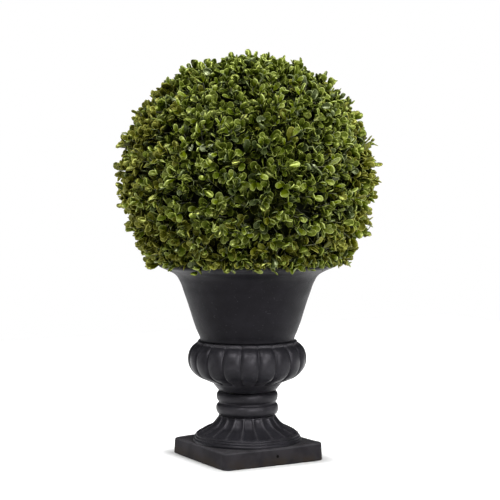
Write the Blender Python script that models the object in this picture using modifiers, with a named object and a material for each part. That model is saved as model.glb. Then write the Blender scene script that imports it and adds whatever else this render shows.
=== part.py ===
# Potted boxwood topiary: a clipped ball of boxwood sprays on a short stem, standing in a footed urn.
# Metres, +Z up. The origin is the centre of the plinth's underside, and the plinth's sides run along X and Y.

import math
import random

import bmesh
import bpy
from mathutils import Matrix, Vector

# Clearance between neighbouring pieces.
GAP = 0.0003

# Square plinth. Its sides draw in a little towards the top, and every edge is rounded.
PLINTH_SIDE = 0.1696
PLINTH_HEIGHT = 0.0250
PLINTH_DRAFT = 0.0008
PLINTH_CORNER = 0.0105
PLINTH_ROUNDING = 0.0030
SHARP_EDGE = math.radians(40)

# Foot: a low ring in two steps on the plinth, then a fluted flare that sweeps in to the neck.
FOOT_RADIUS = 0.0816
FOOT_RING_TOP = 0.0305
FOOT_RING_ROUNDING = 0.0015
FOOT_STEP_RADIUS = 0.0794
FOOT_STEP_TOP = 0.0335
FLARE_FOOT = (0.0765, 0.0366)
FLARE_BEND = (0.0510, 0.0470)
FLUTE_DEPTH = 0.0030

# Neck: two round beads under the bowl.
NECK_RADIUS = 0.0424
NECK_FOOT = 0.0645
NECK_TOP = 0.1009
BEAD_OUT = 0.0039
BEAD_CREASE = 0.0008
BEAD_ARC = 84

# Lobed bowl: a hollowed stem-side cup, then lobes that swell to the belly and close in to a lip.
CUP_BEND = (0.0490, 0.1060)
CUP_TOP = (0.0522, 0.1133)
BELLY_RADIUS = 0.0890
BELLY_HEIGHT = 0.1486
LOWER_SWELL = 0.0390
UPPER_SWELL = 0.0230
LIP_HEIGHT = 0.1770
LIP_ARC = 78
CUP_ARC = 85
LOBE_DEPTH = 0.0048
LOBE_OVERRUN = 0.0100

# Flared wall: a straight cone that opens into a wide rolled rim.
WALL_FOOT = 0.0711
CONE_TOP = (0.0953, 0.2515)
RIM_BEND = (0.1005, 0.2780)
RIM_RADIUS = 0.1320
RIM_HEIGHT = 0.2885
RIM_ROLL = 0.0032
RIM_ROLL_CENTRE = (0.1305, 0.2911)
WALL = 0.0065
INNER_BEND = (0.0970, 0.2780)

# The cavity runs from the rim down into the lobed bowl.
CAVITY_FLOOR = 0.1360
CAVITY_RADIUS = 0.0504

# Lobes and flutes share one count, and a lobe's middle lines up with each corner of the plinth.
LOBES = 20
STEPS_PER_LOBE = 3
LOBED_STEPS = LOBES * STEPS_PER_LOBE
LOBED_TURN = math.pi / 4 + math.pi / LOBES
ROUND_STEPS = 40

# What stands in the urn: a plug of filler, and a short stem that runs up into the ball.
FILL_TOP = 0.2200
STEM_RADIUS = 0.0110
STEM_TIP_RADIUS = 0.0090
STEM_ROOT_RADIUS = 0.0150
STEM_ROOT_HEIGHT = 0.0160
STEM_TOP = 0.3000
STEM_STEPS = 12
POCKET_CLEARANCE = 0.0009

# The clipped ball: a core that twigs with paired leaves stand out of.
BALL_RADIUS = 0.1930
BALL_HEIGHT = 0.4190
CORE_RADIUS = 0.1720
TWIGS = 114
TWIG_RADIUS = 0.0018
TWIG_SINK = 0.0080
TWIG_LEAN = 0.12
REACH_SPREAD = 0.0040
LEAF_LENGTH = 0.0350
LEAF_WIDTH = 0.0250
LEAF_THICKNESS = 0.0014
LEAF_WIDEST = 0.56
LEAF_SINK = 0.0006
LEAF_JITTER = 0.12
LEAF_PAIRS = ((0.78, math.radians(72)), (0.90, math.radians(58)))
URN_CLEARANCE = 0.0030
SKIRT_DROP = 0.0180
SEED = 7

# Looks: base colour, then roughness.
URN_BLACK = ((0.035, 0.034, 0.037), 0.62)
FILL_BROWN = ((0.060, 0.042, 0.028), 0.95)
STEM_BARK = ((0.110, 0.080, 0.050), 0.85)
LEAF_GREEN = ((0.090, 0.130, 0.028), 0.50)

GOLDEN_ANGLE = math.pi * (3 - math.sqrt(5))
MERGE = 0.00001


def clear_scene():
    for obj in list(bpy.data.objects):
        bpy.data.objects.remove(obj)


def new_collection(name):
    collection = bpy.data.collections.new(name)
    bpy.context.scene.collection.children.link(collection)
    return collection


def new_finish(name, colour, roughness):
    finish = bpy.data.materials.new(name)
    finish.use_nodes = True
    shader = finish.node_tree.nodes["Principled BSDF"]
    shader.inputs["Base Color"].default_value = (*colour, 1)
    shader.inputs["Roughness"].default_value = roughness
    shader.inputs["Metallic"].default_value = 0
    return finish


def add_object(name, mesh, collection):
    obj = bpy.data.objects.new(name, mesh)
    collection.objects.link(obj)
    return obj


def take_primitive(name, collection):
    """Names the primitive that was just added, and moves it to the collection."""
    obj = bpy.context.object
    for owner in obj.users_collection:
        owner.objects.unlink(obj)
    collection.objects.link(obj)
    obj.name = obj.data.name = name
    return obj


def bake(obj):
    """Makes the modifiers' result the object's own mesh."""
    graph = bpy.context.evaluated_depsgraph_get()
    mesh = bpy.data.meshes.new_from_object(obj.evaluated_get(graph))
    obj.modifiers.clear()
    obj.data = mesh


def ellipse(centre, out, up, start, end, steps):
    """Points (radius, height) on an ellipse's arc, with its angles in degrees above the outward axis."""
    angles = [math.radians(start + (end - start) * i / steps) for i in range(steps + 1)]
    return [(centre[0] + out * math.cos(angle), centre[1] + up * math.sin(angle)) for angle in angles]


def bend(start, control, end, steps):
    """Points (radius, height) on a smooth curve from start to end, drawn towards control."""
    points = []
    for i in range(steps + 1):
        t = i / steps
        weights = ((1 - t) ** 2, 2 * t * (1 - t), t * t)
        points.append(sum((Vector(p) * w for w, p in zip(weights, (start, control, end))), Vector((0, 0))))
    return points


def turned(name, outline, steps, collection, closed=False):
    """A solid of revolution, whose outline of (radius, height) runs down its outer side."""
    mesh = bpy.data.meshes.new(name)
    edges = [(i, i + 1) for i in range(len(outline) - 1)]
    if closed:
        edges.append((len(outline) - 1, 0))
    mesh.from_pydata([(radius, 0, height) for radius, height in outline], edges, [])
    obj = add_object(name, mesh, collection)
    screw = obj.modifiers.new("Turn", "SCREW")
    screw.steps = screw.render_steps = steps
    screw.use_merge_vertices = True
    screw.merge_threshold = MERGE
    screw.use_smooth_shade = True
    return obj


def carve(obj, depth_at, pattern):
    """Draws each vertex in towards the axis, by the depth at its height times the pattern at its angle."""
    bake(obj)
    for vert in obj.data.vertices:
        radius = math.hypot(vert.co.x, vert.co.y)
        depth = depth_at(radius, vert.co.z)
        if depth > 0:
            lobe = math.atan2(vert.co.y, vert.co.x) * LOBES / (2 * math.pi)
            shrink = 1 - depth * pattern(lobe) / radius
            vert.co = (vert.co.x * shrink, vert.co.y * shrink, vert.co.z)
    obj.rotation_euler.z = LOBED_TURN


def between_lobes(lobe):
    """1 in the narrow groove at each whole number of lobes, and about 0 on the lobes between."""
    return 1 - math.sqrt(abs(math.sin(math.pi * lobe)))


def within_flutes(lobe):
    """0 on the sharp ridge at each whole number of flutes, and about 1 in the flutes between."""
    return math.sqrt(abs(math.sin(math.pi * lobe)))


def swell(share):
    """Rises from 0 at share 0 steeply to 1 in the middle, and falls back to 0 at share 1."""
    return math.sqrt(math.sin(math.pi * min(max(share, 0), 1)))


def cavity_radius(height):
    """Inside radius of the urn, a straight cone from the cavity's floor to the top of the wall's cone."""
    share = (height - CAVITY_FLOOR) / (CONE_TOP[1] - CAVITY_FLOOR)
    return CAVITY_RADIUS + (CONE_TOP[0] - WALL - CAVITY_RADIUS) * share


def make_plinth(collection):
    bpy.ops.mesh.primitive_cube_add(size=1)
    obj = take_primitive("urn_plinth", collection)
    for vert in obj.data.vertices:
        side = PLINTH_SIDE - (2 * PLINTH_DRAFT if vert.co.z > 0 else 0)
        vert.co = (vert.co.x * side, vert.co.y * side, (vert.co.z + 0.5) * PLINTH_HEIGHT)
    upright = obj.data.attributes.new("bevel_weight_edge", "FLOAT", "EDGE")
    for edge in obj.data.edges:
        low, high = (obj.data.vertices[index].co.z for index in edge.vertices)
        upright.data[edge.index].value = 1 if low != high else 0
    corners = obj.modifiers.new("Corners", "BEVEL")
    corners.limit_method = "WEIGHT"
    corners.width = PLINTH_CORNER
    corners.segments = 4
    rounding = obj.modifiers.new("Rounding", "BEVEL")
    rounding.limit_method = "ANGLE"
    rounding.angle_limit = SHARP_EDGE
    rounding.width = PLINTH_ROUNDING
    rounding.segments = 3
    return obj


def make_foot(collection):
    bottom = PLINTH_HEIGHT + GAP
    top = NECK_FOOT - GAP
    outline = [(0, top)]
    outline += bend((NECK_RADIUS, top), FLARE_BEND, FLARE_FOOT, 6)
    outline += [(FOOT_STEP_RADIUS - FOOT_RING_ROUNDING, FOOT_STEP_TOP)]
    outline += [(FOOT_STEP_RADIUS, FOOT_STEP_TOP - FOOT_RING_ROUNDING), (FOOT_STEP_RADIUS, FOOT_RING_TOP)]
    outline += [(FOOT_RADIUS - FOOT_RING_ROUNDING, FOOT_RING_TOP)]
    outline += [(FOOT_RADIUS, FOOT_RING_TOP - FOOT_RING_ROUNDING)]
    outline += [(FOOT_RADIUS, bottom), (0, bottom)]
    obj = turned("urn_foot", outline, LOBED_STEPS, collection)

    def flute_depth(radius, height):
        share = (height - FLARE_FOOT[1]) / (top - FLARE_FOOT[1])
        return FLUTE_DEPTH * swell(share) if 0 < share < 1 and radius > NECK_RADIUS else 0

    carve(obj, flute_depth, within_flutes)
    return obj


def make_neck(collection):
    quarter = (NECK_TOP - NECK_FOOT) / 4
    up = quarter - BEAD_CREASE / 2
    outline = [(0, NECK_TOP), (NECK_RADIUS, NECK_TOP)]
    for height in (NECK_TOP - quarter, NECK_FOOT + quarter):
        outline += ellipse((NECK_RADIUS, height), BEAD_OUT, up, BEAD_ARC, -BEAD_ARC, 5)
    outline += [(NECK_RADIUS, NECK_FOOT), (0, NECK_FOOT)]
    return turned("urn_neck", outline, ROUND_STEPS, collection)


def make_bowl(collection):
    """The lobed lower bowl, with the bottom of the cavity sunk in its top."""
    bottom = NECK_TOP + GAP
    below = (BELLY_RADIUS - LOWER_SWELL, BELLY_HEIGHT)
    above = (BELLY_RADIUS - UPPER_SWELL, BELLY_HEIGHT)
    outline = [(0, CAVITY_FLOOR), (CAVITY_RADIUS, CAVITY_FLOOR), (cavity_radius(LIP_HEIGHT), LIP_HEIGHT)]
    outline += ellipse(above, UPPER_SWELL, LIP_HEIGHT - BELLY_HEIGHT, LIP_ARC, 0, 4)
    outline += ellipse(below, LOWER_SWELL, BELLY_HEIGHT - CUP_TOP[1], 0, -CUP_ARC, 5)[1:]
    outline += bend(CUP_TOP, CUP_BEND, (NECK_RADIUS, bottom), 2)
    outline += [(0, bottom)]
    obj = turned("urn_bowl", outline, LOBED_STEPS, collection)

    def lobe_depth(radius, height):
        share = (height - CUP_TOP[1]) / (LIP_HEIGHT + LOBE_OVERRUN - CUP_TOP[1])
        outer = radius > cavity_radius(height) + GAP
        return LOBE_DEPTH * swell(share) if outer and share > 0 else 0

    carve(obj, lobe_depth, between_lobes)
    return obj


def make_wall(collection):
    """The flared upper wall, an open ring with a rolled rim."""
    foot = LIP_HEIGHT + GAP
    outline = [(cavity_radius(foot), foot)]
    outline += bend((CONE_TOP[0] - WALL, CONE_TOP[1]), INNER_BEND, (RIM_RADIUS - WALL, RIM_HEIGHT), 4)
    outline += ellipse(RIM_ROLL_CENTRE, RIM_ROLL, RIM_ROLL, 150, -50, 5)
    outline += bend((RIM_RADIUS, RIM_HEIGHT), RIM_BEND, CONE_TOP, 5)[1:]
    outline += [(WALL_FOOT, foot)]
    return turned("urn_wall", outline, ROUND_STEPS, collection, closed=True)


def make_fill(collection):
    """Filler that plugs the cavity, clear of its walls and floor."""
    floor = CAVITY_FLOOR + GAP
    outline = [(0, FILL_TOP), (cavity_radius(FILL_TOP) - 2 * GAP, FILL_TOP)]
    outline += [(cavity_radius(floor) - 2 * GAP, floor), (0, floor)]
    return turned("pot_fill", outline, ROUND_STEPS, collection)


def make_stem(collection):
    """A short tapering stem with a flared root, cut flat where it meets the filler."""
    foot = FILL_TOP + GAP
    outline = [(0, STEM_TOP), (STEM_TIP_RADIUS, STEM_TOP)]
    outline += bend((STEM_RADIUS, foot + STEM_ROOT_HEIGHT), (STEM_RADIUS, foot), (STEM_ROOT_RADIUS, foot), 3)
    outline += [(0, foot)]
    return turned("stem", outline, STEM_STEPS, collection)


def leaf_mesh():
    """A thin blade of eight faces from the origin along +X, widest a little past its middle."""
    bm = bmesh.new()
    bmesh.ops.create_uvsphere(bm, u_segments=4, v_segments=2, radius=0.5)
    for vert in bm.verts:
        share = LEAF_WIDEST if abs(vert.co.x) < 0.25 else vert.co.x + 0.5
        vert.co = (share * LEAF_LENGTH, vert.co.y * LEAF_WIDTH, vert.co.z * LEAF_THICKNESS)
    mesh = bpy.data.meshes.new("leaf")
    bm.to_mesh(mesh)
    bm.free()
    return mesh


def twig_mesh(length):
    """A three-sided tapering twig from the origin along +Z."""
    bm = bmesh.new()
    middle = Matrix.Translation((0, 0, length / 2))
    thick = TWIG_RADIUS * 1.2
    thin = TWIG_RADIUS * 0.8
    sides = {"segments": 3, "radius1": thick, "radius2": thin, "depth": length}
    bmesh.ops.create_cone(bm, cap_ends=True, matrix=middle, **sides)
    mesh = bpy.data.meshes.new("twig")
    bm.to_mesh(mesh)
    bm.free()
    return mesh


def spiral_directions(count):
    """Directions spread evenly over the whole sphere along a golden spiral, from the top down."""
    for i in range(count):
        z = 1 - (2 * i + 1) / count
        flat = math.sqrt(1 - z * z)
        yield Vector((flat * math.cos(i * GOLDEN_ANGLE), flat * math.sin(i * GOLDEN_ANGLE), z))


def clear_of_urn(point):
    """Whether foliage may reach this point: over the rim, or just outside it as part of the ball's skirt."""
    radius = math.hypot(point.x, point.y)
    over = point.z > RIM_HEIGHT + 2 * RIM_ROLL + URN_CLEARANCE
    outside = radius > RIM_RADIUS + RIM_ROLL + URN_CLEARANCE and point.z > RIM_HEIGHT - SKIRT_DROP
    return over or outside


def make_core(collection):
    """The ball's core, with a pocket in its underside that the stem runs up into."""
    bpy.ops.mesh.primitive_ico_sphere_add(subdivisions=3, radius=CORE_RADIUS, location=(0, 0, BALL_HEIGHT))
    core = take_primitive("boxwood_ball", collection)
    cutters = new_collection("cutters")
    radius = STEM_RADIUS + POCKET_CLEARANCE
    depth = STEM_TOP + GAP - FILL_TOP
    place = (0, 0, FILL_TOP + depth / 2)
    bpy.ops.mesh.primitive_cylinder_add(vertices=STEM_STEPS, radius=radius, depth=depth, location=place)
    pocket = take_primitive("pocket_cutter", cutters)
    pocket.hide_render = True
    pocket.display_type = "WIRE"
    cut = core.modifiers.new("Pocket", "BOOLEAN")
    cut.operation = "DIFFERENCE"
    cut.object = pocket
    cut.solver = "EXACT"
    bake(core)
    return core


def add_spray(direction, rng, leaf, parts):
    """One twig and its two pairs of leaves, the upper pair turned a quarter and spread wider."""
    reach = BALL_RADIUS + rng.uniform(-REACH_SPREAD, REACH_SPREAD / 2)
    turn = rng.uniform(0, math.pi)
    lean = Vector([rng.uniform(-TWIG_LEAN, TWIG_LEAN) for _ in range(3)])
    last_share, last_spread = LEAF_PAIRS[-1]
    length = (reach - CORE_RADIUS - LEAF_LENGTH * math.cos(last_spread)) / last_share + TWIG_SINK
    root = Vector((0, 0, BALL_HEIGHT)) + direction * (CORE_RADIUS - TWIG_SINK)
    stand = Matrix.Translation(root) @ (direction + lean).to_track_quat("Z", "Y").to_matrix().to_4x4()
    if not clear_of_urn(stand @ Vector((0, 0, length))):
        return
    add_object("twig", twig_mesh(length), parts).matrix_world = stand
    corners = [vert.co for vert in leaf.vertices]
    for pair, (share, spread) in enumerate(LEAF_PAIRS):
        for side in (0, 1):
            jitter = [rng.uniform(-LEAF_JITTER, LEAF_JITTER) for _ in range(3)]
            around = Matrix.Rotation(turn + side * math.pi + pair * math.pi / 2 + jitter[0], 4, "Z")
            lift = Matrix.Rotation(spread - math.pi / 2 + jitter[1], 4, "Y")
            base = Matrix.Translation((0, 0, length * share + jitter[2] * TWIG_RADIUS * 2))
            frame = stand @ base @ around @ lift @ Matrix.Translation((-LEAF_SINK, 0, 0))
            if all(clear_of_urn(frame @ corner) for corner in corners):
                add_object("leaf", leaf, parts).matrix_world = frame


def make_ball(collection):
    """The core and every twig and leaf, fused into one solid."""
    rng = random.Random(SEED)
    ball = make_core(collection)
    parts = new_collection("ball_parts")
    leaf = leaf_mesh()
    for direction in spiral_directions(TWIGS):
        add_spray(direction, rng, leaf, parts)
    join = ball.modifiers.new("Join", "BOOLEAN")
    join.operation = "UNION"
    join.operand_type = "COLLECTION"
    join.collection = parts
    join.solver = "EXACT"
    bpy.context.view_layer.update()
    bake(ball)
    for piece in list(parts.objects):
        bpy.data.objects.remove(piece)
    bpy.data.collections.remove(parts)
    return ball


def main():
    clear_scene()
    topiary = new_collection("potted_boxwood_topiary")
    looks = {make_fill: FILL_BROWN, make_stem: STEM_BARK, make_ball: LEAF_GREEN}
    for make in (make_plinth, make_foot, make_neck, make_bowl, make_wall, make_fill, make_stem, make_ball):
        piece = make(topiary)
        colour, roughness = looks.get(make, URN_BLACK)
        piece.data.materials.append(new_finish(piece.name + "_finish", colour, roughness))


main()
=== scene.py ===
# Clipped boxwood ball in a dark footed urn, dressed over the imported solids.
# Each solid gets a finer surface of its own: the cast urn, its filler, the bark of the stem,
# and a ball of twigs with leaves in opposite pairs. Sizes are in metres.
import math

import bpy
import numpy as np
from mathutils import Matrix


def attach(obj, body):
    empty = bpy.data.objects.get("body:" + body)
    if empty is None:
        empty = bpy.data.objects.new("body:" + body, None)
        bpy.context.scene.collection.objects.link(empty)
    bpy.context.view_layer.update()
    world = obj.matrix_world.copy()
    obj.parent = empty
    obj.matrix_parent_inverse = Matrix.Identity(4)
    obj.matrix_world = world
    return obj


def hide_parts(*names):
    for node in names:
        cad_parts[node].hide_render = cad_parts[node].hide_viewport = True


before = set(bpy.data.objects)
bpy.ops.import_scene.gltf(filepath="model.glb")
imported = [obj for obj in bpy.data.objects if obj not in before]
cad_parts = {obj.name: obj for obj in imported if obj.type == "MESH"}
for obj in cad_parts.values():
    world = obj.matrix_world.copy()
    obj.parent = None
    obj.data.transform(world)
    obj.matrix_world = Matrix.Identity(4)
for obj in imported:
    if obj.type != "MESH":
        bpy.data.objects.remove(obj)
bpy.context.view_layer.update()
fullTurn = 2 * math.pi
goldenAngle = math.pi * (3 - math.sqrt(5))
lobeCount = 20  # lobes on the bowl and flutes on the foot
lobeStart = math.pi / 4  # a lobe's middle lines up with a corner of the plinth


def lumps(points, size, seed, waves=9):
    # Sum of sine waves in seeded directions: soft lumps of about this size, mostly between -1 and 1.
    rng = np.random.default_rng(seed)
    ways = rng.normal(size=(waves, 3))
    ways /= np.linalg.norm(ways, axis=1)[:, None]
    pitch = rng.uniform(0.6, 1.6, waves) / size
    shift = rng.uniform(0, fullTurn, waves)
    return np.sin(points @ (ways * pitch[:, None]).T * math.pi + shift).sum(axis=-1) / math.sqrt(waves * 2)


def smoothRun(points, rows):
    # Cubic curve through the points, each stretch weighted by its length, read at equal steps of length.
    points = np.asarray(points, float)
    reach = np.r_[0, np.cumsum(np.linalg.norm(np.diff(points, axis=0), axis=1))]
    slope = np.gradient(points, reach, axis=0)
    at = np.linspace(0, reach[-1], rows)
    stretch = np.clip(np.searchsorted(reach, at, side="right") - 1, 0, len(points) - 2)
    gap = (reach[stretch + 1] - reach[stretch])[:, None]
    share = (at - reach[stretch])[:, None] / gap
    start, end = points[stretch], points[stretch + 1]
    leave, arrive = slope[stretch] * gap, slope[stretch + 1] * gap
    rise = 3 * share**2 - 2 * share**3
    bends = leave * (share - 2 * share**2 + share**3) + arrive * (share**3 - share**2)
    return start + (end - start) * rise + bends


def levelRun(run, height):
    # A level stretch of an outline, from one radius to another in so many points.
    start, end, count = run
    return np.stack([np.linspace(start, end, count), np.full(count, height)], -1)


def cappedOutline(look, *parts):
    # The parts of an outline one after another, between its level underside and its level top.
    outline = np.vstack(parts)
    under = levelRun(look["below"], outline[0, 1])
    over = levelRun(look["above"], outline[-1, 1])
    return np.vstack([under, outline, over])


def betweenCaps(look):
    # The rows of a capped outline between its level underside and its level top.
    return slice(look["below"][2], -look["above"][2])


def stepAngles(steps):
    # The angles of the steps round the axis: a full turn in equal parts.
    return np.arange(steps) * fullTurn / steps


def spun(outline, steps):
    # The outline's radius and height, each repeated at every step round the axis, and the steps' angles.
    radius, height = (np.repeat(column[:, None], steps, axis=1) for column in outline.T)
    return radius, height, stepAngles(steps)


def ringPoints(radius, height, angle):
    # Points on rings round the axis: radius times the angle's cosine and sine, at the height.
    return np.stack([radius * np.cos(angle), radius * np.sin(angle), height], axis=-1)


def makeUneven(radius, height, angle, rows, look):
    # Moves the points of these rows in or out by soft lumps, as a hand-finished mould is out of true.
    size, amount, seed = look["uneven"]
    radius[rows] += lumps(ringPoints(radius, height, angle), size, seed)[rows] * amount


def meshFrom(name, points, *faceArrays):
    # Whole arrays of points and of three- or four-cornered faces, put in with foreach_set.
    mesh = bpy.data.meshes.new(name)
    corners = np.concatenate([faces.ravel() for faces in faceArrays]).astype(np.int32)
    sizes = np.concatenate([np.full(len(faces), faces.shape[1]) for faces in faceArrays])
    starts = np.r_[0, np.cumsum(sizes)[:-1]].astype(np.int32)
    mesh.vertices.add(len(points))
    mesh.vertices.foreach_set("co", np.ascontiguousarray(points, np.float32).ravel())
    mesh.loops.add(len(corners))
    mesh.loops.foreach_set("vertex_index", corners)
    mesh.polygons.add(len(sizes))
    mesh.polygons.foreach_set("loop_start", starts)
    mesh.polygons.foreach_set("use_smooth", np.ones(len(sizes), bool))
    mesh.update(calc_edges=True)
    return mesh


def setAttribute(mesh, name, values):
    # One value for each point of the rings, and 0 for the points on the axis that close the ends.
    padded = np.zeros(len(mesh.vertices), np.float32)
    padded[:values.size] = values.ravel()
    mesh.attributes.new(name, "FLOAT", "POINT").data.foreach_set("value", padded)


def ringFaces(rows, steps, closedRing=False):
    # Quads between each ring and the next one. In a closed band the last ring joins the first one.
    ring = np.arange(rows if closedRing else rows - 1)[:, None]
    step = np.arange(steps)[None, :]
    here, there = ring * steps, (ring + 1) % rows * steps
    after = (step + 1) % steps
    return np.stack([here + step, here + after, there + after, there + step], axis=-1).reshape(-1, 4)


def ringMesh(name, grid, closedRing=False, **painted):
    # Rings of points (rows by steps), from the underside up the outer side. A piece that isn't a closed
    # band ends in a fan round a point on the axis at each end. Named values are painted on the points.
    rows, steps = grid.shape[:2]
    points = grid.reshape(-1, 3)
    faces = [ringFaces(rows, steps, closedRing)]
    if not closedRing:
        low, high = len(points), len(points) + 1
        points = np.vstack([points, [[0, 0, grid[0, :, 2].mean()], [0, 0, grid[-1, :, 2].mean()]]])
        step = np.arange(steps)
        after = (step + 1) % steps
        last = (rows - 1) * steps
        faces.append(np.stack([np.full(steps, low), after, step], axis=-1))
        faces.append(np.stack([np.full(steps, high), last + step, last + after], axis=-1))
    mesh = meshFrom(name, points, *faces)
    for attribute, values in painted.items():
        setAttribute(mesh, attribute, values)
    return mesh


def turnedMesh(name, radius, height, angle, **kind):
    # The same for rings that are given by radius, height and angle.
    return ringMesh(name, ringPoints(radius, height, angle), **kind)


def addPiece(mesh, finishes, node):
    # The piece rides on the part's one body and stands for its node, alone or with others.
    piece = bpy.data.objects.new(mesh.name, mesh)
    bpy.context.scene.collection.objects.link(piece)
    for finish in finishes:
        mesh.materials.append(finish)
    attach(piece, "root")
    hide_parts(node)


def newFinish(name, **sockets):
    # A material whose shader takes plain values for the sockets that are named.
    finish = bpy.data.materials.new(name)
    finish.use_nodes = True
    shader = finish.node_tree.nodes["Principled BSDF"]
    for socket, value in sockets.items():
        shader.inputs[socket.replace("_", " ")].default_value = value
    return finish, finish.node_tree, shader


def plainFinish(name, look, colour, **sockets):
    # One colour, as rough and as glossy as the look says.
    gloss = dict(Roughness=look["roughness"], Specular_IOR_Level=look["gloss"])
    return newFinish(name, Base_Color=(*colour, 1), **gloss, **sockets)[0]


def addNode(tree, kind, settings=None, **inputs):
    # A node with its settings. Its inputs are given by name, or by number as i0, i1 and so on, and each
    # is a value or a socket to link from.
    made = tree.nodes.new(kind)
    for key, value in (settings or {}).items():
        setattr(made, key, value)
    for key, value in inputs.items():
        socket = made.inputs[int(key[1:])] if key[0] == "i" and key[1:].isdigit() else made.inputs[key]
        if isinstance(value, bpy.types.NodeSocket):
            tree.links.new(value, socket)
        else:
            socket.default_value = value
    return made


def ownPoint(tree):
    # The point on the piece itself, so a pattern stays where it is when the piece moves.
    return addNode(tree, "ShaderNodeTexCoord").outputs["Object"]


def paintedOn(tree, attribute):
    # The values painted on the piece's points, such as its wear.
    return addNode(tree, "ShaderNodeAttribute", {"attribute_name": attribute}).outputs["Fac"]


def noiseOf(tree, where, size, detail=3.0, rough=0.55, bend=0.0):
    # Noise whose blotches are about this many metres across.
    made = addNode(tree, "ShaderNodeTexNoise", Vector=where, Scale=1 / size, Detail=detail, Roughness=rough)
    made.inputs["Distortion"].default_value = bend
    return made.outputs["Fac"]


def ramped(tree, value, low, high, outLow=0.0, outHigh=1.0):
    # Smooth ramp from outLow, where the value is at or under low, to outHigh, where it is at or over high.
    made = addNode(tree, "ShaderNodeMapRange", {"interpolation_type": "SMOOTHSTEP"}, Value=value)
    for key, number in (("From Min", low), ("From Max", high), ("To Min", outLow), ("To Max", outHigh)):
        made.inputs[key].default_value = number
    return made.outputs["Result"]


def times(tree, first, second):
    # First value times the second.
    return addNode(tree, "ShaderNodeMath", {"operation": "MULTIPLY"}, i0=first, i1=second).outputs[0]


def blended(tree, share, first, second):
    # First colour where share is 0, second where it is 1.
    made = addNode(tree, "ShaderNodeMix", {"data_type": "RGBA"})
    for index, value in ((0, share), (6, first), (7, second)):
        if isinstance(value, bpy.types.NodeSocket):
            tree.links.new(value, made.inputs[index])
        else:
            made.inputs[index].default_value = value if index == 0 else (*value, 1)
    return made.outputs[2]


def addBump(tree, shader, height, distance, strength):
    # Fine relief that stands out by up to this distance where the height is 1.
    bump = addNode(tree, "ShaderNodeBump", Height=height, Distance=distance, Strength=strength)
    tree.links.new(bump.outputs["Normal"], shader.inputs["Normal"])


# The urn is cast in one dark composite, with softly worn edges.
castLook = dict(
    dark=(0.0065, 0.0062, 0.0078),
    pale=(0.0110, 0.0106, 0.0129),
    blotch=0.030,
    blotchLevels=(0.36, 0.66),  # levels of the noise between which dark turns to pale
    worn=(0.0420, 0.0405, 0.0440),
    wearLevels=(0.30, 0.62),  # the same for worn edges, from their least to their full share
    wearLeast=0.35,
    grain=0.0016,
    bump=0.00045,
    bumpStrength=0.5,
    speck=2.2,  # size of a pale speck, in grains
    speckLevels=(0.62, 0.80),
    speckShare=0.5,
    earth=(0.0250, 0.0195, 0.0145),  # brown stains low down, up to the next height
    earthTop=0.020,
    earthBlotch=0.022,
    earthLevels=(0.35, 0.60),
    earthShare=0.0,
    gloss=0.102,
    glossTint=(0.96, 0.92, 1.0),
    roughLow=0.31,
    roughHigh=0.44,
    roughLevels=(0.3, 0.7),
    sheen=0.02,
    sheenRough=0.45,
)


def castFinish(name, look):
    # Charcoal in two blotchy tones, paler on worn edges and browner low down, with a fine cast grain. The
    # pale
    # wear colour also paints light: a highlight on the bowl's lip and a paler top on the plinth.
    # A pit is a small hole painted as a dark spot round its own point: painted shade, not a dent in the
    # mesh.
    finish, tree, shader = newFinish(
        name,
        Specular_IOR_Level=look["gloss"],
        Specular_Tint=(*look["glossTint"], 1),
        Sheen_Weight=look["sheen"],
        Sheen_Roughness=look["sheenRough"],
    )
    where = ownPoint(tree)
    blotches = noiseOf(tree, where, look["blotch"], detail=4.0, rough=0.6, bend=0.4)
    specks = noiseOf(tree, where, look["grain"] * look["speck"], detail=2.0, rough=0.6)
    grain = noiseOf(tree, where, look["grain"], rough=0.7)
    colour = blended(tree, ramped(tree, blotches, *look["blotchLevels"]), look["dark"], look["pale"])
    speckle = ramped(tree, specks, *look["speckLevels"], 0.0, look["speckShare"])
    colour = blended(tree, speckle, colour, look["worn"])
    patchy = ramped(tree, blotches, *look["wearLevels"], look["wearLeast"], 1.0)
    colour = blended(tree, times(tree, paintedOn(tree, "wear"), patchy), colour, look["worn"])
    if look["earthShare"]:
        height = addNode(tree, "ShaderNodeSeparateXYZ", Vector=where).outputs["Z"]
        low = ramped(tree, height, 0.0, look["earthTop"], look["earthShare"], 0.0)
        stains = ramped(tree, noiseOf(tree, where, look["earthBlotch"]), *look["earthLevels"])
        colour = blended(tree, times(tree, low, stains), colour, look["earth"])
    if "pit" in look:
        # The pit: painted shade of a small hole, black at its core.
        gap = addNode(tree, "ShaderNodeVectorMath", {"operation": "DISTANCE"}, i0=where, i1=look["pit"])
        core = look["pitSize"] * look["pitCore"]
        hole = ramped(tree, gap.outputs["Value"], core, look["pitSize"], 1.0, 0.0)
        colour = blended(tree, hole, colour, look["pitDark"])
    tree.links.new(colour, shader.inputs["Base Color"])
    rough = ramped(tree, blotches, *look["roughLevels"], look["roughHigh"], look["roughLow"])
    tree.links.new(rough, shader.inputs["Roughness"])
    addBump(tree, shader, grain, look["bump"], look["bumpStrength"])
    return finish


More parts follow.
